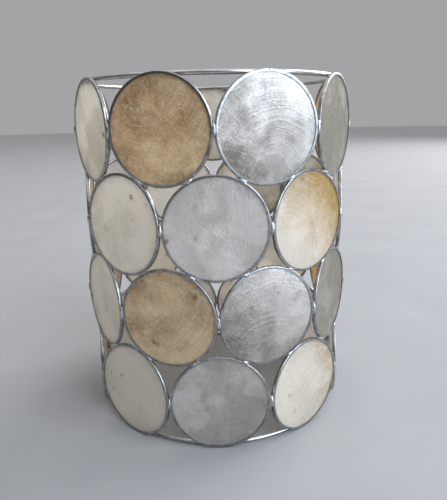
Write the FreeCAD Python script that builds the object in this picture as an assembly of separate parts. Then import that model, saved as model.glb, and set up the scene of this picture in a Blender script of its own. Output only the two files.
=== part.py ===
import FreeCAD
import Part
import math
import os

from FreeCAD import Placement, Rotation, Vector

# Hurricane candle lantern: an open, nine-sided sleeve of round capiz shell panes.
#
# Every pane sits in a bent channel ring. The rings stand in staggered rows, and each ring is soldered to
# the rings beside, above and below it. A wire hoop closes the sleeve at the top, and another, with a
# narrow flat filed under it, is the foot. The axis of the sleeve is Z, and the foot stands on Z = 0.

# Driving dimensions, in millimetres and degrees

PANES_PER_ROW = 9
ROWS = 4

SHELL_DIAMETER = 50.8
SHELL_THICKNESS = 0.9
SHELL_EDGE_BEVEL = 0.2

CHANNEL_WALL = 0.5
CHANNEL_BEND = 0.5
CHANNEL_LIP = 0.8
SHELL_FACE_CLEARANCE = 0.05
SHELL_EDGE_CLEARANCE = 0.1
SEAM_GAP = 0.3
RING_GAP = 0.1

HOOP_WIRE = 2.5
HOOP_GAP = 0.15
FOOT_FLAT_DEPTH = 0.15
RING_FOOT_CLEARANCE = 0.2

SIDE_BEAD_LENGTH = 7.0
SIDE_BEAD_RADIUS = 1.25
NEST_BEAD_LENGTH = 6.0
NEST_BEAD_RADIUS = 1.15
BEAD_FORWARD_SHIFT = 0.35
HOOP_BEAD_LENGTH = 6.0
HOOP_BEAD_RADIUS = 0.7
HOOP_BEAD_OFFSET = 0.65
BEAD_TIP_RADIUS = 0.25

# Sizes that follow from them

SHELL_RADIUS = SHELL_DIAMETER / 2
RING_RADIUS = SHELL_RADIUS + SHELL_EDGE_CLEARANCE + CHANNEL_WALL
RING_LIP_RADIUS = RING_RADIUS - CHANNEL_WALL - CHANNEL_LIP
RING_WIDTH = SHELL_THICKNESS + 2 * (SHELL_FACE_CLEARANCE + CHANNEL_WALL)
BEND = min(CHANNEL_BEND, 0.45 * RING_WIDTH)
PANE_ANGLE = 360 / PANES_PER_ROW
HALF_ANGLE = math.radians(PANE_ANGLE / 2)
STAGGER_ANGLE = math.radians(PANE_ANGLE / 4)
UP = Vector(0, 0, 1)


def pane_distance():
    """Distance from the axis to a pane's middle plane, so that rings side by side are RING_GAP apart.

    Two neighbours come nearest at the rounded back corners of their channels.
    """
    corner = BEND * (math.sin(HALF_ANGLE) + math.cos(HALF_ANGLE) - 1)
    reach = RING_RADIUS * math.cos(HALF_ANGLE) - corner + RING_GAP / 2
    return RING_WIDTH / 2 + reach / math.sin(HALF_ANGLE)


def nesting_pitch(distance):
    """Height between rows, so that a ring and the two that it nests between are RING_GAP apart.

    Seen along the line midway between two nested rings, the back corner of a ring is an ellipse, and the
    middle of the joint lies a bend radius and half a gap outside it.
    """
    tall = RING_RADIUS - BEND
    wide = tall * math.cos(STAGGER_ANGLE)
    away = BEND + RING_GAP / 2
    across = (distance - RING_WIDTH / 2 + BEND) * math.sin(STAGGER_ANGLE)
    low, high = 0.0, math.pi / 2
    for _ in range(60):
        angle = (low + high) / 2
        slope = math.hypot(tall * math.sin(angle), wide * math.cos(angle))
        reached = (wide + away * tall / slope) * math.sin(angle)
        low, high = (angle, high) if reached < across else (low, angle)
    return 2 * (tall + away * wide / slope) * math.cos(angle)


PANE_DISTANCE = pane_distance()
ROW_PITCH = nesting_pitch(PANE_DISTANCE)
LOWEST_ROW_Z = RING_FOOT_CLEARANCE + RING_RADIUS
TOP_Z = LOWEST_ROW_Z + (ROWS - 1) * ROW_PITCH + RING_RADIUS
HOOP_RADIUS = PANE_DISTANCE - RING_WIDTH / 2 - HOOP_GAP - HOOP_WIRE / 2
BOTTOM_HOOP_Z = HOOP_WIRE / 2 - FOOT_FLAT_DEPTH
TOP_HOOP_Z = TOP_Z - HOOP_WIRE / 2


def row_z(row):
    """Height of a row's centres. Row 1 is the top one."""
    return LOWEST_ROW_Z + (ROWS - row) * ROW_PITCH


def pane_azimuth(row, place):
    """Degrees round the axis from the front (-Y) towards +X. Odd rows are staggered by half a pane."""
    return PANE_ANGLE * (place + (0.5 if row % 2 else 0.0))


def outward(azimuth):
    """Unit vector that points out of the sleeve at an azimuth."""
    turned = math.radians(azimuth)
    return Vector(math.sin(turned), -math.cos(turned), 0)


def pane_placement(azimuth, height):
    """From a pane's own frame (X along the row, Y up, Z out) to its place in the sleeve."""
    spin = Rotation(UP, azimuth) * Rotation(Vector(1, 0, 0), 90)
    return Placement(outward(azimuth) * PANE_DISTANCE + UP * height, spin)


def placed(shape, placement):
    """A copy of a shape, moved by a placement."""
    return shape.transformed(placement.toMatrix(), True)


def polygon_and_arcs(steps):
    """A face from a closed outline: each step is an end point, or a middle point and an end point."""
    edges = []
    here = steps[-1][-1]
    for step in steps:
        if len(step) == 1:
            edges.append(Part.LineSegment(here, step[0]).toShape())
        else:
            edges.append(Part.Arc(here, step[0], step[1]).toShape())
        here = step[-1]
    return Part.Face(Part.Wire(edges))


# Shell panes

def shell_pane():
    """A thin flat disc cut from a shell, with its edge bevelled to enter the channel."""
    half = SHELL_THICKNESS / 2
    edge = SHELL_RADIUS - SHELL_EDGE_BEVEL
    face = polygon_and_arcs([
        [Vector(0, 0, half)],
        [Vector(edge, 0, half)],
        [Vector(SHELL_RADIUS, 0, half - SHELL_EDGE_BEVEL)],
        [Vector(SHELL_RADIUS, 0, SHELL_EDGE_BEVEL - half)],
        [Vector(edge, 0, -half)],
        [Vector(0, 0, -half)],
    ])
    return face.revolve(Vector(), UP, 360)


# Channel rings

def channel_outside(inner_radius):
    """The outside of the channel's section, from its back lip round the two bends to its front lip."""
    half = RING_WIDTH / 2
    bend_x = RING_RADIUS - BEND
    bend_z = half - BEND
    diagonal = BEND * math.sqrt(0.5)
    return [
        [Vector(inner_radius, 0, -half)],
        [Vector(bend_x, 0, -half)],
        [Vector(bend_x + diagonal, 0, -bend_z - diagonal), Vector(RING_RADIUS, 0, -bend_z)],
        [Vector(RING_RADIUS, 0, bend_z)],
        [Vector(bend_x + diagonal, 0, bend_z + diagonal), Vector(bend_x, 0, half)],
        [Vector(inner_radius, 0, half)],
    ]


def channel_ring():
    """A channel strip bent round a pane, with its butt seam at the top."""
    inside = RING_RADIUS - CHANNEL_WALL
    slot = RING_WIDTH / 2 - CHANNEL_WALL
    face = polygon_and_arcs(channel_outside(RING_LIP_RADIUS) + [
        [Vector(RING_LIP_RADIUS, 0, slot)],
        [Vector(inside, 0, slot)],
        [Vector(inside, 0, -slot)],
        [Vector(RING_LIP_RADIUS, 0, -slot)],
    ])
    seam = math.degrees(SEAM_GAP / RING_RADIUS)
    face.rotate(Vector(), UP, 90 + seam / 2)
    return face.revolve(Vector(), UP, 360 - seam)


def filled_ring():
    """The space that a ring and its pane take up together, which solder stays out of.

    Its closing line is halfway between its side and its top, away from every joint.
    """
    face = polygon_and_arcs(channel_outside(0))
    face.rotate(Vector(), UP, 45)
    return face.revolve(Vector(), UP, 360)


# Hoops

def wire_hoop(height):
    """A hoop of round wire, level, just inside the backs of the rings."""
    return Part.makeTorus(HOOP_RADIUS, HOOP_WIRE / 2, Vector(0, 0, height), UP)


def foot_hoop():
    """The bottom hoop, with the flat that it stands on."""
    margin = HOOP_WIRE
    reach = HOOP_RADIUS + margin
    ground = Part.makeCylinder(reach, margin, Vector(0, 0, -margin), UP)
    return wire_hoop(BOTTOM_HOOP_Z).cut(ground)


# Solder beads

def bead(length, radius, centre, along, open_side):
    """A spindle of solder with small blunt tips, centred on a joint and lying along it.

    Its closing line is on the open side, where it meets no other piece.
    """
    half = length / 2
    face = polygon_and_arcs([
        [Vector(0, 0, -half)],
        [Vector(BEAD_TIP_RADIUS, 0, -half)],
        [Vector(radius, 0, 0), Vector(BEAD_TIP_RADIUS, 0, half)],
        [Vector(0, 0, half)],
    ])
    spindle = face.revolve(Vector(), UP, 360)
    return placed(spindle, Placement(centre, Rotation(open_side, along.cross(open_side), along, "ZXY")))


def side_bead(ring):
    """Solder in the upright groove between two rings of one row, in the front half pane's corner."""
    out = outward(PANE_ANGLE / 2)
    centre = out * (PANE_DISTANCE / math.cos(HALF_ANGLE) + BEAD_FORWARD_SHIFT)
    spindle = bead(SIDE_BEAD_LENGTH, SIDE_BEAD_RADIUS, centre, UP, out)
    for turn in (0, PANE_ANGLE):
        spindle = spindle.cut(placed(ring, pane_placement(turn, 0)))
    return spindle


def nest_bead(ring, side):
    """Solder in the slanting groove between a ring and the one below it, to the right (1) or left (-1)."""
    azimuth = side * PANE_ANGLE / 4
    out = outward(azimuth)
    lean = math.asin(PANE_DISTANCE * math.tan(STAGGER_ANGLE) / RING_RADIUS)
    along = UP.cross(out) * math.cos(lean) * side + UP * math.sin(lean)
    reach = PANE_DISTANCE / math.cos(STAGGER_ANGLE) + BEAD_FORWARD_SHIFT
    centre = out * reach - UP * (ROW_PITCH / 2)
    spindle = bead(NEST_BEAD_LENGTH, NEST_BEAD_RADIUS, centre, along, out)
    for place in (pane_placement(0, 0), pane_placement(2 * azimuth, -ROW_PITCH)):
        spindle = spindle.cut(placed(ring, place))
    return spindle


def hoop_bead(ring, ring_z, hoop, hoop_z):
    """Solder in the notch between a ring's back and a hoop, on the side of the wire towards the pane."""
    to_pane = UP * math.copysign(1, ring_z - hoop_z)
    back = PANE_DISTANCE - RING_WIDTH / 2 - HOOP_GAP
    centre = outward(0) * back + UP * hoop_z + to_pane * HOOP_BEAD_OFFSET
    spindle = bead(HOOP_BEAD_LENGTH, HOOP_BEAD_RADIUS, centre, Vector(1, 0, 0), to_pane)
    return spindle.cut(placed(ring, pane_placement(0, ring_z))).cut(hoop)


def row_of(shape, row, height):
    """Copies of a shape that was made at the front, one for each pane of a row."""
    copies = []
    for place in range(PANES_PER_ROW):
        turn = Rotation(UP, pane_azimuth(row, place))
        copies.append(placed(shape, Placement(UP * height, turn)))
    return copies


# The lantern

def build():
    """Every node's name and shape. A node that repeats one piece is a group of separate solids."""
    shell = shell_pane()
    ring = channel_ring()
    taken = filled_ring()
    top_hoop = wire_hoop(TOP_HOOP_Z)
    bottom_hoop = foot_hoop()
    between = side_bead(taken)
    below = [nest_bead(taken, 1), nest_bead(taken, -1)]
    nodes = {"top_hoop": top_hoop, "bottom_hoop": bottom_hoop}
    for row in range(1, ROWS + 1):
        height = row_z(row)
        places = [pane_placement(pane_azimuth(row, place), height) for place in range(PANES_PER_ROW)]
        for number, place in enumerate(places, 1):
            nodes[f"shell_row_{row}_pane_{number}"] = placed(shell, place)
        nodes[f"channel_rings_row_{row}"] = Part.makeCompound([placed(ring, place) for place in places])
        nodes[f"solder_row_{row}"] = Part.makeCompound(row_of(between, row, height))
        if row < ROWS:
            joints = row_of(below[0], row, height) + row_of(below[1], row, height)
            nodes[f"solder_rows_{row}_and_{row + 1}"] = Part.makeCompound(joints)
    top_joint = hoop_bead(taken, row_z(1), top_hoop, TOP_HOOP_Z)
    nodes["solder_top_hoop"] = Part.makeCompound(row_of(top_joint, 1, 0))
    bottom_joint = hoop_bead(taken, row_z(ROWS), bottom_hoop, BOTTOM_HOOP_Z)
    nodes["solder_bottom_hoop"] = Part.makeCompound(row_of(bottom_joint, ROWS, 0))
    return nodes


def main():
    os.makedirs("parts", exist_ok=True)
    for name, shape in build().items():
        shape.exportStep(os.path.join("parts", f"{name}.step"))
    print(f"pane distance {PANE_DISTANCE:.2f}, row pitch {ROW_PITCH:.2f}, height {TOP_Z:.2f}")


main()
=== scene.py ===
# %% [markdown]
# A candle lantern of shell panes.
# The lantern is an open sleeve: four staggered rows of round shell panes, each held in a bent metal channel
# ring, soldered to its neighbours and closed at both ends by a hoop of wire.
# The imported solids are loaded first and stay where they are. They give every place and most sizes, so each
# visible piece is modelled once at the origin and then laid on its solid, and nothing is fitted by eye.

# %% Load the frame
import math

import bpy
from mathutils import Matrix, Vector


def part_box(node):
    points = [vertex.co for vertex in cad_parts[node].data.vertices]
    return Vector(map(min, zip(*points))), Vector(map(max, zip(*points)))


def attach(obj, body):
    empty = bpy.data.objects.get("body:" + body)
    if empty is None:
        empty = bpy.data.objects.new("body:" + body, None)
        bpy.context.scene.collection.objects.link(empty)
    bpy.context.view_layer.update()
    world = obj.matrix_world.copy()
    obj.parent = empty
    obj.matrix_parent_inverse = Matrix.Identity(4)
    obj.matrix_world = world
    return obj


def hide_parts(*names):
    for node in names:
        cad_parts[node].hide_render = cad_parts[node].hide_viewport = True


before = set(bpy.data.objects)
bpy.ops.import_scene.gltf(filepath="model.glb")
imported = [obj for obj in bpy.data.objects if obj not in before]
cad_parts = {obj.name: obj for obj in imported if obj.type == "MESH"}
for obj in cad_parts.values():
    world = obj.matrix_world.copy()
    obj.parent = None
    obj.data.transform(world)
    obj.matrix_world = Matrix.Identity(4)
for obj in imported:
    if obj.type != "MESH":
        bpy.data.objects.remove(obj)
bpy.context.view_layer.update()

# %% [markdown]
# Sizes come from the boxes of the solids: a pane's box is twice its radius high, and so is a row of rings.
# What a box does not show is given here: the two sheet thicknesses, and the width and rim of the channel.

# %% Measure the solids
MM = 0.001
ROW_COUNT = 4
PANE_COUNT = 9
ROWS = range(1, ROW_COUNT + 1)
PLACES = range(1, PANE_COUNT + 1)
UP = Vector((0, 0, 1))


def box_middle(node):
    """The middle of a solid's box."""
    low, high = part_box(node)
    return (low + high) / 2


def box_size(node):
    """How far a solid reaches along each axis."""
    low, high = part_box(node)
    return high - low


SHELL_RADIUS = box_size("shell_row_1_pane_1").z / 2
SHELL_THICKNESS = 0.9 * MM
RING_RADIUS = box_size("channel_rings_row_1").z / 2
RING_RIM = 1.3 * MM
RING_LIP_RADIUS = RING_RADIUS - RING_RIM
RING_WIDTH = 2.0 * MM
STRIP = 0.5 * MM
PANE_DISTANCE = box_middle("shell_row_1_pane_1").xy.length
ROW_HEIGHTS = {row: box_middle(f"shell_row_{row}_pane_1").z for row in ROWS}
print("pane radius", round(SHELL_RADIUS / MM, 2), "ring radius", round(RING_RADIUS / MM, 2),
      "pane distance", round(PANE_DISTANCE / MM, 2), "mm")

# %% [markdown]
# Each pane has a frame of its own: X along the row, Y up and Z out of the sleeve. A piece that is modelled
# flat at the origin goes to its place by that frame's matrix.

# %% Pane frames
PANE_STEP = 360 / PANE_COUNT


def out_of_sleeve(degrees):
    """The way out of the sleeve at an angle from the front, towards the right."""
    turned = math.radians(degrees)
    return Vector((math.sin(turned), -math.cos(turned), 0))


def wall_frame(centre, out, along):
    """The matrix of a frame with X along the wall, Z out of it and its origin at the centre."""
    axes = Matrix((along, out.cross(along), out)).transposed()
    return Matrix.Translation(centre) @ axes.to_4x4()


def pane_angle(row, place):
    """Degrees from the front towards the right. The odd rows are half a pane round."""
    return PANE_STEP * (place - 1) + (PANE_STEP / 2 if row % 2 else 0)


def pane_frame(row, place):
    """A pane's own frame, on its solid."""
    out = out_of_sleeve(pane_angle(row, place))
    return wall_frame(box_middle(f"shell_row_{row}_pane_{place}"), out, UP.cross(out))


print("front pane of row 2 looks", [round(v, 3) for v in pane_frame(2, 1).to_3x3().col[2]])

# %% [markdown]
# Operators act on all that is selected, so every piece starts with nothing selected. When a piece is done,
# its place is in its mesh, it rides on the only body, takes the place of its solid and names its finish.

# %% Helpers to start and end a piece
def start_clean():
    """Nothing is selected, and the last piece is out of edit mode."""
    if bpy.context.object and bpy.context.object.mode != "OBJECT":
        bpy.ops.object.mode_set(mode="OBJECT")
    bpy.ops.object.select_all(action="DESELECT")


def pick(piece):
    """Makes one piece the only selected and the active one."""
    start_clean()
    piece.select_set(True)
    bpy.context.view_layer.objects.active = piece


def copy_of(piece, name):
    """A copy with a mesh of its own."""
    twin = piece.copy()
    twin.data = piece.data.copy()
    twin.name = name
    bpy.context.scene.collection.objects.link(twin)
    return twin


def apply_all(piece):
    """Applies the piece's modifiers in order."""
    pick(piece)
    for name in [modifier.name for modifier in piece.modifiers]:
        bpy.ops.object.modifier_apply(modifier=name)


def join(pieces, name):
    """Joins copies into one piece."""
    pick(pieces[0])
    for piece in pieces:
        piece.select_set(True)
    bpy.ops.object.join()
    pieces[0].name = name
    return pieces[0]


def settle(piece, node, finish):
    """Gives a finished piece its material and lets it stand for a solid."""
    piece.data.materials.clear()
    piece.data.materials.append(finish)
    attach(piece, "root")
    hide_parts(node)


# %% [markdown]
# The camera stands about 30 cm from the lantern's axis, level with its top row, and looks down by 15
# degrees. So near, the sleeve narrows downwards. The place, the turns and the lens were worked out from
# the outlines of the panes that face the viewer.

# %% Camera
# The place is in metres, the turns are in radians and the lens is in millimetres.
CAMERA_PLACE = (-0.0016950, -0.30337, 0.169385)
LOOK_DOWN = 0.2612
LOOK_RIGHT = 0.0210
TILT = 0.0217
LENS = 36.42

camera_data = bpy.data.cameras.new("camera")
camera_data.sensor_width = 36
camera_data.lens = LENS
camera_data.clip_start = 0.01
camera = bpy.data.objects.new("camera", camera_data)
bpy.context.scene.collection.objects.link(camera)
looking_down = Matrix.Rotation(math.pi / 2 - LOOK_DOWN, 3, "X")
looking_right = Matrix.Rotation(-LOOK_RIGHT, 3, "Z")
tilted = Matrix.Rotation(-TILT, 3, "Z")
camera_turn = looking_right @ looking_down @ tilted
camera.matrix_world = Matrix.Translation(CAMERA_PLACE) @ camera_turn.to_4x4()
bpy.context.scene.camera = camera
bpy.context.scene.view_settings.view_transform = "Standard"
print("camera at", [round(v, 3) for v in camera.location], "m, looks down by",
      round(math.degrees(LOOK_DOWN), 1), "degrees")

# %% [markdown]
# Finishes are node trees. Short helpers add a node, feed its inputs and chain the arithmetic, so that a
# finish reads from top to bottom like a recipe.

# %% Node helpers
def new_finish(name):
    """An empty material with an output, and its node tree."""
    finish = bpy.data.materials.new(name)
    finish.use_nodes = True
    finish.node_tree.nodes.clear()
    finish.node_tree.nodes.new("ShaderNodeOutputMaterial")
    return finish, finish.node_tree


def feed(tree, socket, value):
    """Links the output of another node to an input, or sets the input to a plain value."""
    if isinstance(value, bpy.types.NodeSocket):
        tree.links.new(value, socket)
    else:
        socket.default_value = value


def add(tree, kind, inputs=None, **settings):
    """Adds a node with its settings and inputs."""
    node = tree.nodes.new("ShaderNode" + kind)
    for key, value in settings.items():
        setattr(node, key, value)
    for key, value in (inputs or {}).items():
        feed(tree, node.inputs[key], value)
    return node


def show(tree, shader):
    """Lets a shader be what the material shows."""
    tree.links.new(shader.outputs[0], tree.nodes["Material Output"].inputs["Surface"])


print("materials before the first finish:", len(bpy.data.materials))

# %% [markdown]
# Four small steps come up in every finish: arithmetic, stretching a range of values, mixing two colours,
# and a soft noise. A noise that reads a place in metres has as many clouds to a metre as its scale says.

# %% Steps of a finish
def sums(tree, operation, first, second=0.0, third=0.0):
    """The output of one step of arithmetic."""
    return add(tree, "Math", {0: first, 1: second, 2: third}, operation=operation).outputs[0]


def spread(tree, value, low, high, new_low=0.0, new_high=1.0):
    """Stretches the values between low and high to a new range, and holds them there."""
    inputs = {"Value": value, "From Min": low, "From Max": high, "To Min": new_low, "To Max": new_high}
    return add(tree, "MapRange", inputs, clamp=True).outputs["Result"]


def blend(tree, share, first, second, blend_type="MIX"):
    """A colour between two colours."""
    node = add(tree, "Mix", data_type="RGBA", blend_type=blend_type)
    for key, value in (("Factor", share), ("A", first), ("B", second)):
        feed(tree, next(s for s in node.inputs if s.enabled and s.name == key), value)
    return next(s for s in node.outputs if s.enabled)


def soft_noise(tree, place, scale, detail, roughness, distortion=0.0):
    """The value of a noise texture."""
    inputs = {"Vector": place, "Scale": scale, "Detail": detail, "Roughness": roughness,
              "Distortion": distortion}
    return add(tree, "TexNoise", inputs).outputs[0]


print("a noise of scale 100 has clouds about", round(1 / 100 / MM), "mm across")

# %% [markdown]
# Windowpane shell is thin, flat and half clear, with a silky shine. It grows outwards from its hinge, so
# it has fine arcs round the hinge, crossed by finer threads that fan out from it.
# A flat tint would lose all this. A picture could carry it, but it would have to come from outside.
# So the pattern is built in nodes. Each pane has a UV map of its own with the origin at the hinge point,
# so the distance from the origin gives the arcs and the angle round it gives the threads. A noise shifts
# the map a little from place to place, because no growth line is drawn with compasses.

# %% Growth lines
WAVER_SCALE = 95.0
WAVER_REACH = (0.16, 0.16, 0.0)
ARCS_IN_RADIUS = 16.0
FINE_ARCS_IN_RADIUS = 52.0
THREADS_IN_RADIAN = 38.0
THREAD_BREAKS_IN_RADIUS = 6.0


def growth_spot(tree, place):
    """The spot on the growth map, shifted a little."""
    growth = add(tree, "UVMap", uv_map="growth").outputs["UV"]
    noise = add(tree, "TexNoise", {"Vector": place, "Scale": WAVER_SCALE, "Detail": 3.0}).outputs["Color"]
    centred = add(tree, "VectorMath", {0: noise, 1: (0.5, 0.5, 0.5)}, operation="SUBTRACT").outputs[0]
    shifted = add(tree, "VectorMath", {0: centred, 1: WAVER_REACH, 2: growth}, operation="MULTIPLY_ADD")
    return shifted.outputs[0]


def arc_noise(tree, distance, arcs, detail, roughness):
    """A noise that changes only with the distance from the hinge."""
    inputs = {"W": sums(tree, "MULTIPLY", distance, arcs), "Scale": 1.0, "Detail": detail,
              "Roughness": roughness}
    return add(tree, "TexNoise", inputs, noise_dimensions="1D").outputs[0]


def growth_lines(tree, spot):
    """The broad arcs, the fine arcs and the threads."""
    apart = add(tree, "SeparateXYZ", {0: spot})
    distance = add(tree, "VectorMath", {0: spot}, operation="LENGTH").outputs["Value"]
    angle = sums(tree, "ARCTAN2", apart.outputs["Y"], apart.outputs["X"])
    arcs = arc_noise(tree, distance, ARCS_IN_RADIUS, 4.0, 0.7)
    fine_arcs = arc_noise(tree, distance, FINE_ARCS_IN_RADIUS, 2.0, 0.6)
    round_hinge = sums(tree, "MULTIPLY", angle, THREADS_IN_RADIAN)
    outwards = sums(tree, "MULTIPLY", distance, THREAD_BREAKS_IN_RADIUS)
    fan = add(tree, "CombineXYZ", {"X": round_hinge, "Y": outwards}).outputs[0]
    threads = soft_noise(tree, fan, 1.0, 4.0, 0.68, 0.7)
    return arcs, fine_arcs, threads


print("arcs about", round(SHELL_RADIUS / ARCS_IN_RADIUS / MM, 2), "mm apart, fine arcs",
      round(SHELL_RADIUS / FINE_ARCS_IN_RADIUS / MM, 2), "mm")

# %% [markdown]
# Old shell is also clouded and patchy. These noises read the place on the lantern, so no two panes are
# alike. Two attributes of a pane steer the pattern: tone says how deep the tint is at each point, on a few
# panes with painted light in it, and lines says how plain the growth lines are. The arcs show in some
# patches more than in others.

# %% Pattern of a pane
CLOUD_SCALE = 70.0
PATCH_SCALE = 48.0
GRAIN_SCALE = 1000.0


def shell_pattern(tree):
    """All that a shell finish is mixed from, by name."""
    place = add(tree, "TexCoord").outputs["Object"]
    spot = growth_spot(tree, place)
    arcs, fine_arcs, threads = growth_lines(tree, spot)
    lines = add(tree, "Attribute", attribute_name="lines").outputs["Fac"]
    patches = soft_noise(tree, place, PATCH_SCALE, 2.0, 0.5)
    plain_arcs = sums(tree, "MULTIPLY", spread(tree, arcs, 0.32, 0.68), lines)
    thread_strength = sums(tree, "MULTIPLY_ADD", lines, 0.65, 0.35)
    return {
        "place": place,
        "spot": spot,
        "tone": add(tree, "Attribute", attribute_name="tone").outputs["Fac"],
        "lines": lines,
        "arcs": sums(tree, "MULTIPLY", plain_arcs, spread(tree, patches, 0.40, 0.60, 0.25, 1.0)),
        "fine_arcs": fine_arcs,
        "threads": threads,
        "plain_threads": sums(tree, "MULTIPLY", spread(tree, threads, 0.34, 0.66), thread_strength),
        "clouds": soft_noise(tree, place, CLOUD_SCALE, 4.0, 0.6, 0.8),
        "patches": patches,
        "grain": soft_noise(tree, place, GRAIN_SCALE, 4.0, 0.7),
    }


print("clouds about", round(1 / CLOUD_SCALE / MM), "mm across, patches", round(1 / PATCH_SCALE / MM), "mm")

# %% [markdown]
# The tint runs from a pale one to a deep one. The pane's tone sets where it lies between them, and clouds,
# patches, threads and grain move it from there. A pane with plain growth lines is also cloudier. Arcs and
# threads then darken the tint with painted shade, for the light and shade that the fine ridges of real shell
# catch.

# %% Tint of a pane
RIDGE_PAINTED_SHADE = (0.52, 0.50, 0.47, 1)
ARC_SHADE = 0.42
THREAD_SHADE = 0.22


def shell_tint(tree, pattern, pale, deep):
    """The tint of clean shell, with painted shade along its ridges."""
    unrest = sums(tree, "MULTIPLY_ADD", pattern["lines"], 0.36, 0.14)
    cloudy = spread(tree, pattern["clouds"], 0.34, 0.66, -0.5, 0.5)
    depth = sums(tree, "MULTIPLY_ADD", cloudy, unrest, pattern["tone"])
    depth = sums(tree, "ADD", spread(tree, pattern["patches"], 0.47, 0.53, 0.23, 0.43), depth)
    depth = sums(tree, "MULTIPLY_ADD", pattern["plain_threads"], 0.22, depth)
    depth = sums(tree, "MULTIPLY_ADD", spread(tree, pattern["grain"], 0.30, 0.70), 0.20, depth)
    tint = blend(tree, spread(tree, depth, 0.15, 1.15), pale, deep)
    # painted shade: arcs and threads darken the tint along the fine ridges
    shade = sums(tree, "MULTIPLY", pattern["arcs"], ARC_SHADE)
    shade = sums(tree, "MULTIPLY_ADD", pattern["plain_threads"], THREAD_SHADE, shade)
    return blend(tree, shade, tint, RIDGE_PAINTED_SHADE, "MULTIPLY")


print("full shade: arcs", ARC_SHADE, "and threads", THREAD_SHADE, "of the ridge tint")

# %% [markdown]
# Stains on shell are small torn spots that gather where it is cloudy. Scratches are pale. Some follow the
# fine arcs for a short way, and longer hairlines cross the pane in three directions.
# Lines could be drawn one by one, but there are hundreds. A noise that is stretched ten times as far one
# way as the other looks just like them.

# %% Stains and scratches
STAIN_SCALE = 95.0
BREAK_SCALE = 130.0
HAIR_TURNS = (0.5, -0.8, 1.9)
HAIR_STRETCH = (40.0, 4.0, 1.0)
SCRATCH_TINT = (0.94, 0.87, 0.74, 1)


def stains(tree, pattern):
    """Where the shell is stained, and how strongly."""
    inputs = {"Vector": pattern["place"], "Scale": STAIN_SCALE, "Randomness": 1.0}
    spots = add(tree, "TexVoronoi", inputs).outputs["Distance"]
    torn = sums(tree, "MULTIPLY_ADD", pattern["grain"], 0.45, spots)
    cloudy = spread(tree, pattern["clouds"], 0.46, 0.58)
    stained = sums(tree, "MULTIPLY", spread(tree, torn, 0.39, 0.29), cloudy)
    return sums(tree, "MULTIPLY", stained, 0.8)


def hairlines(tree, spot, turn):
    """Thin lines across a pane, all running one way, with a little bend in them."""
    turned = add(tree, "VectorRotate", {"Vector": spot, "Angle": turn}, rotation_type="Z_AXIS").outputs[0]
    drawn = add(tree, "VectorMath", {0: turned, 1: HAIR_STRETCH}, operation="MULTIPLY").outputs[0]
    return spread(tree, soft_noise(tree, drawn, 1.0, 2.0, 0.5, 1.4), 0.60, 0.70)


def scratches(tree, pattern):
    """Where the shell is scratched, and how strongly."""
    breaks = spread(tree, soft_noise(tree, pattern["place"], BREAK_SCALE, 3.0, 0.6), 0.50, 0.60)
    scratched = sums(tree, "MULTIPLY", spread(tree, pattern["fine_arcs"], 0.56, 0.64), breaks)
    for turn in HAIR_TURNS:
        scratched = sums(tree, "MAXIMUM", scratched, hairlines(tree, pattern["spot"], turn))
    return sums(tree, "MULTIPLY", scratched, spread(tree, pattern["lines"], 0.0, 0.8, 0.12, 0.65))


print("hairlines run", [round(math.degrees(turn)) for turn in HAIR_TURNS], "degrees round")

# %% [markdown]
# Shell shines like satin and lets light through. So its surface is partly metallic under a thin coat, and
# it is mixed with a share of translucent shader, which glows when the light is behind it. A fully clear
# shader would show what lies behind as glass does, and real shell does not.
# The same recipe gives four finishes, from silver through grey and cream to honey brown.

# %% Shell finishes
def shell_finish(name, pale, deep, stain, metallic, roughness, glow, glow_tint):
    """A finish for shell panes: two tints, a stain, and how it shines and lets light through."""
    finish, tree = new_finish(name)
    pattern = shell_pattern(tree)
    tint = shell_tint(tree, pattern, pale, deep)
    tint = blend(tree, stains(tree, pattern), tint, stain)
    tint = blend(tree, scratches(tree, pattern), tint, SCRATCH_TINT)
    relief = sums(tree, "MULTIPLY", pattern["threads"], 0.38)
    relief = sums(tree, "MULTIPLY_ADD", pattern["arcs"], 0.4, relief)
    relief = sums(tree, "MULTIPLY_ADD", pattern["grain"], 0.25, relief)
    bump = add(tree, "Bump", {"Height": relief, "Strength": 0.9, "Distance": 0.5 * MM}).outputs[0]
    silk = sums(tree, "MULTIPLY_ADD", pattern["threads"], 0.5, pattern["clouds"])
    satin = spread(tree, silk, 0.45, 1.05, roughness - 0.08, roughness + 0.12)
    surface = add(tree, "BsdfPrincipled", {"Base Color": tint, "Roughness": satin, "Normal": bump,
                                           "Metallic": metallic, "Coat Weight": 0.15,
                                           "Coat Roughness": 0.25})
    through = blend(tree, 1.0, tint, glow_tint, "MULTIPLY")
    lit = add(tree, "BsdfTranslucent", {"Color": through, "Normal": bump})
    show(tree, add(tree, "MixShader", {0: glow, 1: surface.outputs[0], 2: lit.outputs[0]}))
    print("finish", name, "has", len(tree.nodes), "nodes")
    return finish


SHELL_FINISHES = {
    "shell_silver": shell_finish(
        "silver_shell", pale=(0.915, 0.885, 0.87, 1), deep=(0.30, 0.255, 0.225, 1),
        stain=(0.33, 0.22, 0.10, 1), metallic=0.52, roughness=0.27,
        glow=0.42, glow_tint=(1.0, 0.98, 0.96, 1)),
    "shell_amber": shell_finish(
        "amber_shell", pale=(0.89, 0.755, 0.54, 1), deep=(0.40, 0.215, 0.06, 1),
        stain=(0.28, 0.11, 0.015, 1), metallic=0.12, roughness=0.38,
        glow=0.52, glow_tint=(1.0, 0.96, 0.89, 1)),
    "shell_grey": shell_finish(
        "grey_shell", pale=(0.92, 0.90, 0.86, 1), deep=(0.50, 0.47, 0.41, 1),
        stain=(0.30, 0.21, 0.11, 1), metallic=0.06, roughness=0.42,
        glow=0.68, glow_tint=(1.0, 0.99, 0.97, 1)),
    "shell_cream": shell_finish(
        "cream_shell", pale=(1.0, 0.95, 0.885, 1), deep=(0.68, 0.47, 0.17, 1),
        stain=(0.38, 0.24, 0.09, 1), metallic=0.14, roughness=0.36,
        glow=0.52, glow_tint=(1.0, 0.97, 0.90, 1)),
}

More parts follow.
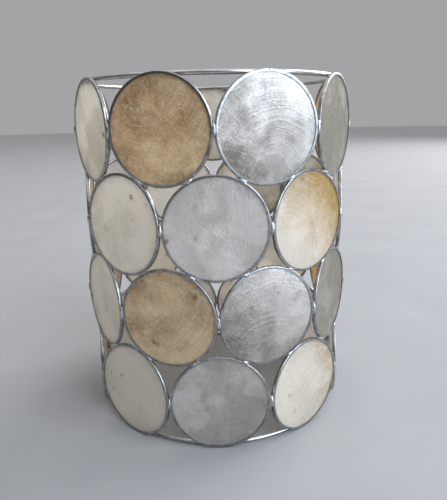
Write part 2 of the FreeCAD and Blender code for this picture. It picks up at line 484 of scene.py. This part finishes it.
# %% [markdown]
# The channel is thin tinned strip, dull where it was bent and handled. The hoops are drawn wire, brighter
# and smoother, and the solder is a soft grey metal that set in lumps and kept dark specks of flux.
# All three are metals, so their colour is mostly what they mirror. What tells them apart is how rough,
# cloudy and lumpy they are, and so one recipe takes these as values.

# %% Metal finishes
METAL_GRAIN_SCALE = 2600.0
SPECK_SCALE = 700.0
SPECK_TINT = (0.05, 0.045, 0.04, 1)


def metal_finish(name, bright, dull, rough, cloud_scale, relief_depth, specks):
    """A finish for a metal: its bright and dull tints, its range of roughness and how lumpy it is."""
    finish, tree = new_finish(name)
    place = add(tree, "TexCoord").outputs["Object"]
    clouds = soft_noise(tree, place, cloud_scale, 5.0, 0.6)
    grain = soft_noise(tree, place, METAL_GRAIN_SCALE, 3.0, 0.6)
    flecks = soft_noise(tree, place, SPECK_SCALE, 2.0, 0.5)
    worn = spread(tree, sums(tree, "MULTIPLY_ADD", grain, 0.3, clouds), 0.45, 0.85)
    tint = blend(tree, worn, bright, dull)
    dark = sums(tree, "MULTIPLY", spread(tree, flecks, 0.62, 0.70), specks)
    tint = blend(tree, dark, tint, SPECK_TINT)
    satin = spread(tree, sums(tree, "MULTIPLY_ADD", grain, 0.4, clouds), 0.45, 0.95, rough[0], rough[1])
    relief = sums(tree, "MULTIPLY_ADD", grain, 0.2, clouds)
    bump = add(tree, "Bump", {"Height": relief, "Strength": 0.6, "Distance": relief_depth}).outputs[0]
    show(tree, add(tree, "BsdfPrincipled", {"Base Color": tint, "Roughness": satin, "Normal": bump,
                                            "Metallic": 1.0}))
    print("finish", name, "has", len(tree.nodes), "nodes")
    return finish


CHANNEL_FINISH = metal_finish("tinned_channel", bright=(0.50, 0.50, 0.51, 1), dull=(0.20, 0.20, 0.20, 1),
                              rough=(0.20, 0.40), cloud_scale=240.0, relief_depth=0.10 * MM, specks=0.5)
WIRE_FINISH = metal_finish("drawn_wire", bright=(0.62, 0.62, 0.63, 1), dull=(0.38, 0.38, 0.38, 1),
                           rough=(0.16, 0.32), cloud_scale=140.0, relief_depth=0.02 * MM, specks=0.15)
SOLDER_FINISH = metal_finish("set_solder", bright=(0.72, 0.73, 0.75, 1), dull=(0.36, 0.36, 0.37, 1),
                             rough=(0.20, 0.42), cloud_scale=520.0, relief_depth=0.25 * MM, specks=0.8)

# %% [markdown]
# A pane is a thin disc that is never quite flat: it bows a little and ripples.
# A cylinder would give flat ends with no points to bow. So the disc is raised ring by ring, as a bowl is: a
# circle is extruded inwards in narrow bands, and each band is lifted by what the bow needs.
# The model disc has a bow of two millimetres, which each copy then scales to its own.

# %% Model disc for the panes
BANDS = [0.965, 0.92, 0.86, 0.79, 0.71, 0.62, 0.52, 0.41, 0.29, 0.16, 0.05]
BOW = 2.0 * MM
DISC_PLAY = 0.05 * MM

start_clean()
bpy.ops.mesh.primitive_circle_add(vertices=96, radius=SHELL_RADIUS - DISC_PLAY, fill_type="NOTHING")
disc = bpy.context.object
disc.name = "disc"
bpy.ops.object.mode_set(mode="EDIT")
bpy.ops.mesh.select_all(action="SELECT")
reached = 1.0
for share in BANDS:
    lift = BOW * (reached ** 2 - share ** 2)
    bpy.ops.mesh.extrude_edges_move(TRANSFORM_OT_translate={"value": (0, 0, lift)})
    bpy.ops.transform.resize(value=(share / reached, share / reached, 1), center_override=(0, 0, 0))
    reached = share
bpy.ops.mesh.merge(type="CENTER")
bpy.ops.mesh.select_all(action="SELECT")
bpy.ops.mesh.normals_make_consistent(inside=False)
bpy.ops.object.mode_set(mode="OBJECT")
disc_height = max(point.co.z for point in disc.data.vertices)
print("model disc:", len(disc.data.vertices), "points, bow", round(disc_height / MM, 2), "mm")

# %% [markdown]
# Every pane has a character of its own: its finish, how deep its tint is, which way that drifts, where its
# hinge point lies, how far it bows and how plain its growth lines are. The panes at the front, and those
# that show through the gaps, follow the real lantern. On three of them the tint also carries painted light,
# as noted in the table. The rest go on with the same mixture.

# %% Character of each pane
SILVER, AMBER, GREY, CREAM = "shell_silver", "shell_amber", "shell_grey", "shell_cream"

# Finish, depth of tint, drift of tint (a painted highlight on two silver panes), direction of the drift in
# degrees, hinge point across and up in radii, bow as a share of the model disc's, and strength of the growth
# lines.
PANES = {
    # painted highlight: the drift keeps this pane pale at the upper right and darker towards the lower left
    (1, 1): (SILVER, 0.13, 0.32, 235, 0.20, -0.72, 0.40, 0.68),
    (1, 2): (GREY, 0.55, 0.15, 250, 0.90, 0.80, 0.15, 0.40),
    (1, 3): (AMBER, 0.15, 0.15, 200, -0.70, 0.30, -0.20, 0.30),
    (1, 4): (AMBER, 0.05, 0.20, 90, 0.20, 1.00, 0.25, 0.70),
    (1, 5): (GREY, 0.00, 0.10, 300, 0.80, -0.50, -0.20, 0.30),
    (1, 6): (CREAM, 0.00, 0.15, 20, -0.90, -0.30, 0.20, 0.90),
    (1, 7): (GREY, 0.05, 0.10, 140, 0.10, 0.90, -0.15, 0.40),
    (1, 8): (GREY, 0.04, 0.10, 250, -0.60, -0.90, 0.20, 0.15),
    (1, 9): (AMBER, 0.02, 0.14, 165, -0.25, 0.90, 0.25, 0.85),
    (2, 1): (SILVER, -0.17, 0.10, 20, 0.55, -0.85, 0.35, 0.12),
    (2, 2): (CREAM, 0.00, 0.76, 42, -0.70, -0.60, 0.25, 0.70),
    (2, 3): (GREY, 0.15, 0.10, 80, -0.80, 0.60, -0.20, 0.50),
    (2, 4): (GREY, 0.40, 0.10, 200, 0.40, -0.90, 0.30, 0.50),
    (2, 5): (GREY, 0.32, 0.28, 250, -0.20, -0.80, -0.25, 0.80),
    (2, 6): (GREY, -0.45, 0.10, 100, 0.90, 0.20, 0.15, 0.30),
    (2, 7): (SILVER, -0.30, 0.20, 330, -0.50, 0.70, 0.30, 0.70),
    (2, 8): (CREAM, 0.10, 0.15, 180, 0.30, 0.95, -0.20, 0.50),
    (2, 9): (GREY, -0.30, 0.14, 130, 0.95, 0.75, 0.20, 0.30),
    # painted highlight: the drift keeps this pane pale at the upper right and darker towards the left
    (3, 1): (SILVER, 0.06, 0.34, 208, 0.10, -0.95, 0.60, 0.65),
    (3, 2): (GREY, 0.55, 0.10, 60, -0.85, 0.40, 0.20, 0.30),
    (3, 3): (AMBER, 0.10, 0.15, 150, 0.60, 0.70, -0.20, 0.40),
    (3, 4): (GREY, 0.00, 0.10, 240, -0.30, 0.90, 0.25, 0.60),
    (3, 5): (SILVER, 0.00, 0.20, 90, 0.75, -0.60, -0.25, 0.70),
    # painted light: this back pane is tinted at its palest where sun fell on it, over its own cream tint
    (3, 6): (CREAM, -0.80, 0.10, 10, -0.95, 0.10, 0.20, 0.20),
    (3, 7): (CREAM, -0.15, 0.20, 210, 0.25, -0.90, 0.20, 0.90),
    (3, 8): (GREY, -0.35, 0.08, 290, 0.80, 0.60, -0.15, 0.20),
    (3, 9): (AMBER, -0.20, 0.36, 122, -0.75, 0.65, 0.30, 0.95),
    (4, 1): (SILVER, 0.11, 0.07, 310, 0.05, 0.95, -0.25, 0.22),
    (4, 2): (CREAM, -0.64, 0.70, 5, 1.20, -1.10, 0.40, 1.10),
    (4, 3): (GREY, 0.40, 0.10, 170, 0.50, 0.85, 0.20, 0.70),
    (4, 4): (SILVER, -0.40, 0.15, 70, -0.80, -0.50, -0.20, 0.50),
    (4, 5): (GREY, -0.10, 0.20, 280, 0.20, 0.95, 0.30, 0.90),
    (4, 6): (GREY, -0.45, 0.10, 130, -0.90, 0.35, 0.15, 0.50),
    (4, 7): (GREY, -0.70, 0.15, 30, 0.65, -0.75, 0.25, 0.60),
    (4, 8): (CREAM, 0.15, 0.15, 230, -0.15, 0.90, -0.20, 0.70),
    (4, 9): (GREY, -0.42, 0.12, 270, 0.70, 0.90, 0.20, 0.20),
}
print("panes of each finish:", {slot: sum(p[0] == slot for p in PANES.values()) for slot in SHELL_FINISHES})

# %% [markdown]
# Each copy of the disc gets its growth map and its attributes while it still lies flat, because X and Y
# then run across its face. A point group says where it is free to ripple: in the middle, and not near the
# edge, where the channel holds the shell flat.

# %% Marks on a flat pane
def draw_growth(pane, hinge):
    """The growth map: the pane's face in radii, with the origin at the hinge point."""
    layer = pane.data.uv_layers.new(name="growth")
    for loop in pane.data.loops:
        point = pane.data.vertices[loop.vertex_index].co / SHELL_RADIUS
        layer.data[loop.index].uv = (point.x - hinge[0], point.y - hinge[1])


def draw_tone(pane, depth, tint_and_highlight_drift, direction, lines):
    """The depth of tint, which drifts in one direction, on some panes as a painted highlight, and the
    strength of the growth lines.
    """
    turned = math.radians(direction)
    across = Vector((math.cos(turned), math.sin(turned), 0)) / SHELL_RADIUS
    tones = [depth + tint_and_highlight_drift * point.co.dot(across) for point in pane.data.vertices]
    pane.data.attributes.new("tone", "FLOAT", "POINT").data.foreach_set("value", tones)
    pane.data.attributes.new("lines", "FLOAT", "POINT").data.foreach_set("value", [lines] * len(tones))


def free_middle(pane):
    """A point group with full weight in the middle of the pane and none where the channel holds it."""
    group = pane.vertex_groups.new(name="free")
    for point in pane.data.vertices:
        share = 1 - (point.co.xy.length / RING_LIP_RADIUS) ** 4
        group.add([point.index], max(0.0, share), "REPLACE")


print("a pane is free within", round(RING_LIP_RADIUS / MM, 2), "mm of its middle")

# %% [markdown]
# A marked pane goes to its place, and a cloud texture ripples it. The texture reads the place on the
# lantern, so every pane ripples in another way. A wall of 0.9 mm and a small bevel come last, so that both
# faces follow the same ripple.

# %% Shell panes
RIPPLE_HEIGHT = 0.5 * MM
PANE_EDGE = 0.15 * MM

ripple = bpy.data.textures.new("shell_ripple", "CLOUDS")
ripple.noise_scale = 16 * MM
ripple.noise_depth = 2


def shell_pane(row, place):
    """One pane, from a copy of the model disc to the finished piece."""
    slot, depth, tint_and_highlight_drift, direction, hinge_x, hinge_y, bow, lines = PANES[row, place]
    pane = copy_of(disc, f"pane_row_{row}_{place}")
    pane.data.transform(Matrix.Diagonal((1, 1, bow, 1)))
    draw_growth(pane, (hinge_x, hinge_y))
    draw_tone(pane, depth, tint_and_highlight_drift, direction, lines)
    free_middle(pane)
    pane.data.transform(pane_frame(row, place))
    waves = pane.modifiers.new("waves", "DISPLACE")
    waves.texture = ripple
    waves.texture_coords = "LOCAL"
    waves.vertex_group = "free"
    waves.strength = RIPPLE_HEIGHT
    waves.mid_level = 0.5
    wall = pane.modifiers.new("wall", "SOLIDIFY")
    wall.thickness = SHELL_THICKNESS
    wall.offset = 0
    edge = pane.modifiers.new("edge", "BEVEL")
    edge.width = PANE_EDGE
    edge.segments = 2
    edge.limit_method = "ANGLE"
    edge.angle_limit = math.radians(50)
    apply_all(pane)
    bpy.ops.object.shade_smooth_by_angle(angle=math.radians(35))
    settle(pane, f"shell_row_{row}_pane_{place}", SHELL_FINISHES[slot])
    return pane


panes = [shell_pane(row, place) for row in ROWS for place in PLACES]
bpy.data.objects.remove(disc)
print("panes:", len(panes), "faces each", len(panes[0].data.polygons))

# %% [markdown]
# The channel starts as a flat strip that is folded to a U and rolled into a ring round the pane, with its
# two ends meeting at the top.
# A bevelled torus would look round and solid. So the ring starts as an open tube for the floor of the U.
# Its two rims are extruded inwards for the lips, and the two folds are bevelled.

# %% Folds of the model ring
FOLD = 0.25 * MM
SAME_PLACE = 0.01 * MM


def select_points(piece, wanted):
    """In edit mode, selects the points that a test accepts, and the edges and faces between them."""
    bpy.ops.mesh.select_mode(type="VERT")
    bpy.ops.mesh.select_all(action="DESELECT")
    bpy.ops.object.mode_set(mode="OBJECT")
    for point in piece.data.vertices:
        point.select = wanted(point.co)
    bpy.ops.object.mode_set(mode="EDIT")
    bpy.ops.mesh.select_mode(type="EDGE")


middle_radius = RING_RADIUS - STRIP / 2
half_width = (RING_WIDTH - STRIP) / 2
inward = RING_LIP_RADIUS / middle_radius
start_clean()
bpy.ops.mesh.primitive_cylinder_add(vertices=112, radius=middle_radius, depth=2 * half_width,
                                    end_fill_type="NOTHING", rotation=(0, 0, math.radians(90)))
ring = bpy.context.object
ring.name = "ring"
bpy.ops.object.transform_apply(location=False, rotation=True, scale=False)
bpy.ops.object.mode_set(mode="EDIT")
for side in (-1, 1):
    select_points(ring, lambda co: abs(co.z - side * half_width) < SAME_PLACE)
    bpy.ops.mesh.extrude_edges_move()
    bpy.ops.transform.resize(value=(inward, inward, 1), center_override=(0, 0, side * half_width))
for side in (-1, 1):
    select_points(ring, lambda co: abs(co.z - side * half_width) < SAME_PLACE
                  and co.xy.length > middle_radius - STRIP / 10)
    bpy.ops.mesh.bevel(offset=FOLD, segments=3, affect="EDGES")
bpy.ops.object.mode_set(mode="OBJECT")
print("folded ring:", len(ring.data.polygons), "faces")

# %% [markdown]
# The seam is where the two ends of the strip meet. It is made by cutting the ring twice at the top and
# taking out the sliver between the cuts. Points that lie on each other are merged after that, and the
# faces are turned outwards before the strip gets its thickness.

# %% Seam of the model ring
HALF_SEAM = 0.15 * MM
SEAM_REACH = 4 * MM

bpy.ops.object.mode_set(mode="EDIT")
for side in (-1, 1):
    select_points(ring, lambda co: co.y > 0 and abs(co.x) < SEAM_REACH)
    bpy.ops.mesh.bisect(plane_co=(side * HALF_SEAM, 0, 0), plane_no=(1, 0, 0))
select_points(ring, lambda co: co.y > 0 and abs(co.x) < HALF_SEAM * 1.01)
bpy.ops.mesh.delete(type="ONLY_FACE")
bpy.ops.mesh.select_mode(type="VERT")
bpy.ops.mesh.select_all(action="SELECT")
bpy.ops.mesh.remove_doubles(threshold=SAME_PLACE / 10)
bpy.ops.mesh.delete_loose()
bpy.ops.mesh.select_all(action="SELECT")
bpy.ops.mesh.normals_make_consistent(inside=False)
bpy.ops.object.mode_set(mode="OBJECT")
print("ring with a seam:", len(ring.data.polygons), "faces")

# %% [markdown]
# A Solidify modifier gives the strip its thickness and a Bevel modifier takes the sharpness off its edges.
# The bevel leaves some faces of no size, so these are merged away.

# %% Thickness of the model ring
RING_EDGE = 0.12 * MM

thick = ring.modifiers.new("strip", "SOLIDIFY")
thick.thickness = STRIP
thick.offset = 0
thick.use_even_offset = True
soften = ring.modifiers.new("soften", "BEVEL")
soften.width = RING_EDGE
soften.segments = 2
soften.limit_method = "ANGLE"
soften.angle_limit = math.radians(60)
apply_all(ring)
bpy.ops.object.mode_set(mode="EDIT")
bpy.ops.mesh.select_mode(type="VERT")
bpy.ops.mesh.select_all(action="SELECT")
bpy.ops.mesh.remove_doubles(threshold=SAME_PLACE)
bpy.ops.mesh.dissolve_degenerate(threshold=SAME_PLACE / 5)
bpy.ops.mesh.normals_make_consistent(inside=False)
bpy.ops.object.mode_set(mode="OBJECT")
bpy.ops.object.shade_smooth_by_angle(angle=math.radians(50))
ring_reach = max(point.co.xy.length for point in ring.data.vertices)
print("model ring:", len(ring.data.polygons), "faces, radius", round(ring_reach / MM, 2), "mm")

# %% [markdown]
# Nine copies of the ring make a row, each turned to its pane, and become one piece, because the solids of a
# row are one node too.

# %% Rows of rings
def ring_row(row):
    """The nine rings of a row."""
    copies = []
    for place in PLACES:
        copies.append(copy_of(ring, f"ring_{row}_{place}"))
        copies[-1].data.transform(pane_frame(row, place))
    piece = join(copies, f"rings_row_{row}")
    settle(piece, f"channel_rings_row_{row}", CHANNEL_FINISH)
    return piece


rings = [ring_row(row) for row in ROWS]
bpy.data.objects.remove(ring)
print("ring rows:", len(rings), "faces each", len(rings[0].data.polygons))

# %% [markdown]
# The hoops are round wire. A curve with a round bevel would do as well, but a torus is a mesh from the
# start. A faint ripple takes away the machined look. The bottom hoop is filed flat where it stands: the
# points under the floor are pressed up onto it by a resize of zero in Z.

# %% Hoops
WIRE_RADIUS = 1.25 * MM
WIRE_PLAY = 0.04 * MM
WANDER_HEIGHT = 0.06 * MM

wire_wander = bpy.data.textures.new("wire_wander", "CLOUDS")
wire_wander.noise_scale = 30 * MM


def hoop(node, name):
    """A hoop of wire on its solid, flat underneath where the solid is."""
    low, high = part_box(node)
    centre_z = high.z - WIRE_RADIUS
    start_clean()
    bpy.ops.mesh.primitive_torus_add(location=(0, 0, centre_z), major_radius=high.x - WIRE_RADIUS,
                                     minor_radius=WIRE_RADIUS - WIRE_PLAY, major_segments=180,
                                     minor_segments=20)
    piece = bpy.context.object
    piece.name = name
    bpy.ops.object.transform_apply(location=True, rotation=False, scale=False)
    wander = piece.modifiers.new("wander", "DISPLACE")
    wander.texture = wire_wander
    wander.texture_coords = "LOCAL"
    wander.strength = WANDER_HEIGHT
    apply_all(piece)
    if centre_z - WIRE_RADIUS < low.z - SAME_PLACE:
        bpy.ops.object.mode_set(mode="EDIT")
        select_points(piece, lambda co: co.z < low.z)
        bpy.ops.transform.resize(value=(1, 1, 0), center_override=(0, 0, low.z))
        bpy.ops.object.mode_set(mode="OBJECT")
    bpy.ops.object.shade_smooth_by_angle(angle=math.radians(40))
    settle(piece, node, WIRE_FINISH)
    print(name, "from", round(low.z / MM, 2), "to", round(high.z / MM, 2), "mm,",
          len(piece.data.polygons), "faces")


hoop("top_hoop", "hoop_top")
hoop("bottom_hoop", "hoop_bottom")

# %% [markdown]
# Solder runs into the groove between two rings and sets as a long drop, thick in the middle and drawn out at
# its ends. There are over a hundred, so the model drop has few faces: a ball of triangles, pulled long and
# narrowed in three steps towards its ends.

# %% Model drops
# Beyond a share of its half length, the drop is narrowed to a share of its thickness.
NARROWING = ((0.45, 0.88), (0.7, 0.78), (0.88, 0.7))


def drop(name, length, radius):
    """A drop of solder along X, with its widest place at the origin."""
    start_clean()
    bpy.ops.mesh.primitive_ico_sphere_add(subdivisions=3, radius=1)
    piece = bpy.context.object
    piece.name = name
    bpy.ops.object.mode_set(mode="EDIT")
    bpy.ops.mesh.select_all(action="SELECT")
    bpy.ops.transform.resize(value=(length / 2, radius, radius))
    for reach, narrow in NARROWING:
        for side in (-1, 1):
            select_points(piece, lambda co: side * co.x > reach * length / 2)
            bpy.ops.transform.resize(value=(1, narrow, narrow), center_override=(0, 0, 0))
    bpy.ops.object.mode_set(mode="OBJECT")
    print(name, "has", len(piece.data.polygons), "faces")
    return piece


side_drop = drop("side_drop", length=7.0 * MM, radius=1.15 * MM)
nest_drop = drop("nest_drop", length=6.0 * MM, radius=1.05 * MM)
hoop_drop = drop("hoop_drop", length=6.0 * MM, radius=0.85 * MM)

# %% [markdown]
# Side by side, two rings lean away from each other, so the groove between them stands upright. Between two
# rows it slants. At a hoop, the drop lies level between the wire and the back of a ring. All these places
# follow from the distance of the panes and the heights of the rows.

# %% Places of the drops
FORWARD = 0.2 * MM
HOOP_DROP_SHIFT = 0.55 * MM
HOOP_DROP_DEPTH = 0.15 * MM


def side_places(row):
    """Frames of the grooves between the rings of a row."""
    reach = PANE_DISTANCE / math.cos(math.radians(PANE_STEP / 2)) + FORWARD
    for place in PLACES:
        out = out_of_sleeve(pane_angle(row, place) + PANE_STEP / 2)
        yield wall_frame(out * reach + UP * ROW_HEIGHTS[row], out, UP)


def nest_places(row):
    """Frames of the grooves between a row and the row below it."""
    quarter = math.radians(PANE_STEP / 4)
    reach = PANE_DISTANCE / math.cos(quarter) + FORWARD
    height = (ROW_HEIGHTS[row] + ROW_HEIGHTS[row + 1]) / 2
    lean = math.asin(PANE_DISTANCE * math.tan(quarter) / RING_RADIUS)
    for place in PLACES:
        for side in (-1, 1):
            out = out_of_sleeve(pane_angle(row, place) + side * PANE_STEP / 4)
            along = UP.cross(out) * math.cos(lean) * side + UP * math.sin(lean)
            yield wall_frame(out * reach + UP * height, out, along)


def hoop_places(row, node, towards_pane):
    """Frames of the notches between a hoop and the backs of the rings of a row."""
    reach = PANE_DISTANCE - RING_WIDTH / 2 - HOOP_DROP_DEPTH
    height = box_middle(node).z + towards_pane * HOOP_DROP_SHIFT
    for place in PLACES:
        out = out_of_sleeve(pane_angle(row, place))
        yield wall_frame(out * reach + UP * height, out, UP.cross(out))


print("grooves:", len(list(side_places(1))), "in a row,", len(list(nest_places(1))), "between two rows")

# %% [markdown]
# Copies of a drop are laid in their grooves and joined. Real drops are all uneven, and modelling each
# would take long, so a cloud texture makes them lumpy. It reads the place on the lantern, so each gets
# lumps of its own.

# %% Solder
LUMP_HEIGHT = 0.5 * MM

lumps = bpy.data.textures.new("solder_lumps", "CLOUDS")
lumps.noise_scale = 2.2 * MM


def solder(node, model, places):
    """Copies of a drop in their places, joined and made lumpy. Gives their number."""
    copies = []
    for number, place in enumerate(places):
        copies.append(copy_of(model, f"drop_{number}"))
        copies[-1].data.transform(place)
    piece = join(copies, node.replace("solder", "drops"))
    uneven = piece.modifiers.new("uneven", "DISPLACE")
    uneven.texture = lumps
    uneven.texture_coords = "LOCAL"
    uneven.strength = LUMP_HEIGHT
    apply_all(piece)
    bpy.ops.object.shade_smooth()
    settle(piece, node, SOLDER_FINISH)
    return len(copies)


drops = sum(solder(f"solder_row_{row}", side_drop, side_places(row)) for row in ROWS)
drops += sum(solder(f"solder_rows_{row}_and_{row + 1}", nest_drop, nest_places(row)) for row in ROWS[:-1])
drops += solder("solder_top_hoop", hoop_drop, hoop_places(1, "top_hoop", -1))
drops += solder("solder_bottom_hoop", hoop_drop, hoop_places(ROW_COUNT, "bottom_hoop", 1))
for model in (side_drop, nest_drop, hoop_drop):
    bpy.data.objects.remove(model)
print("drops of solder:", drops)

# %% [markdown]
# The lantern stands on a plain pale floor, a wide disc, so that its edge is far away in every view. The
# floor gets a faint cloudiness, because a perfectly even floor looks like paper.

# %% Floor
FLOOR_RADIUS = 6.0
FLOOR_TINTS = ((0.315, 0.315, 0.325, 1), (0.340, 0.340, 0.350, 1))

floor_finish, floor_tree = new_finish("pale_floor")
floor_place = add(floor_tree, "TexCoord").outputs["Object"]
floor_clouds = spread(floor_tree, soft_noise(floor_tree, floor_place, 14.0, 4.0, 0.55), 0.3, 0.7)
floor_tint = blend(floor_tree, floor_clouds, *FLOOR_TINTS)
show(floor_tree, add(floor_tree, "BsdfPrincipled", {"Base Color": floor_tint, "Roughness": 0.85,
                                                    "Specular IOR Level": 0.2}))
start_clean()
bpy.ops.mesh.primitive_circle_add(vertices=128, radius=FLOOR_RADIUS, fill_type="NGON")
floor = bpy.context.object
floor.name = "floor"
floor.data.materials.append(floor_finish)
print("floor", floor.dimensions.x, "m across")

# %% [markdown]
# Soft daylight falls from a wide panel at the front right, as from a window, so the rings are bright on
# their right and dark on their left, and the silver panes that face it flash. It also falls in at the open
# top and makes the panes on the left glow from behind, which a second panel at the back right helps.
# A small lamp would do for the shine, but it would throw hard shadows.

# %% Window light
LIT_PLACE = Vector((0, 0, 0.1))


def panel(name, place, size, power, tint):
    """A soft rectangular light at a place, facing the lantern."""
    data = bpy.data.lights.new(name, "AREA")
    data.shape = "RECTANGLE"
    data.size, data.size_y = size
    data.energy = power
    data.color = tint
    light = bpy.data.objects.new(name, data)
    bpy.context.scene.collection.objects.link(light)
    light.location = place
    light.rotation_euler = (LIT_PLACE - Vector(place)).to_track_quat("-Z", "Y").to_euler()
    light.visible_camera = False


panel("window", place=(1.74, -1.58, 1.13), size=(2.2, 2.5), power=81.0, tint=(0.74, 0.87, 1.0))
panel("side_window", place=(1.87, 1.32, 1.43), size=(2.0, 2.0), power=75.0, tint=(0.97, 0.98, 1.0))

# %% [markdown]
# The surroundings are what the metal mirrors. They are grey, darker towards the front left, which gives
# the rings their dark side, and bright overhead, which lights the inside of the sleeve. The camera itself
# sees an even grey, so that the background stays plain in every view.

# %% Surroundings
ROOM_GREY = (0.37, 0.37, 0.38, 1)
ROOM_DARK = (0.05, 0.05, 0.05, 1)
OVERHEAD = (1.2, 1.2, 1.2, 1)
FRONT_LEFT = (-0.70, -0.70, 0.14)

world = bpy.data.worlds.new("surroundings")
bpy.context.scene.world = world
world.use_nodes = True
world_tree = world.node_tree
way = add(world_tree, "TexCoord").outputs["Generated"]
to_front_left = add(world_tree, "VectorMath", {0: way, 1: FRONT_LEFT}, operation="DOT_PRODUCT")
dimness = spread(world_tree, to_front_left.outputs["Value"], -0.1, 0.7)
room = blend(world_tree, dimness, ROOM_GREY, ROOM_DARK)
upward = add(world_tree, "SeparateXYZ", {0: way}).outputs["Z"]
room = blend(world_tree, spread(world_tree, upward, 0.35, 0.95), room, OVERHEAD)
seen = add(world_tree, "LightPath").outputs["Is Camera Ray"]
room = blend(world_tree, seen, room, ROOM_GREY)
world_tree.links.new(room, world_tree.nodes["Background"].inputs["Color"])
print("surroundings have", len(world_tree.nodes), "nodes")
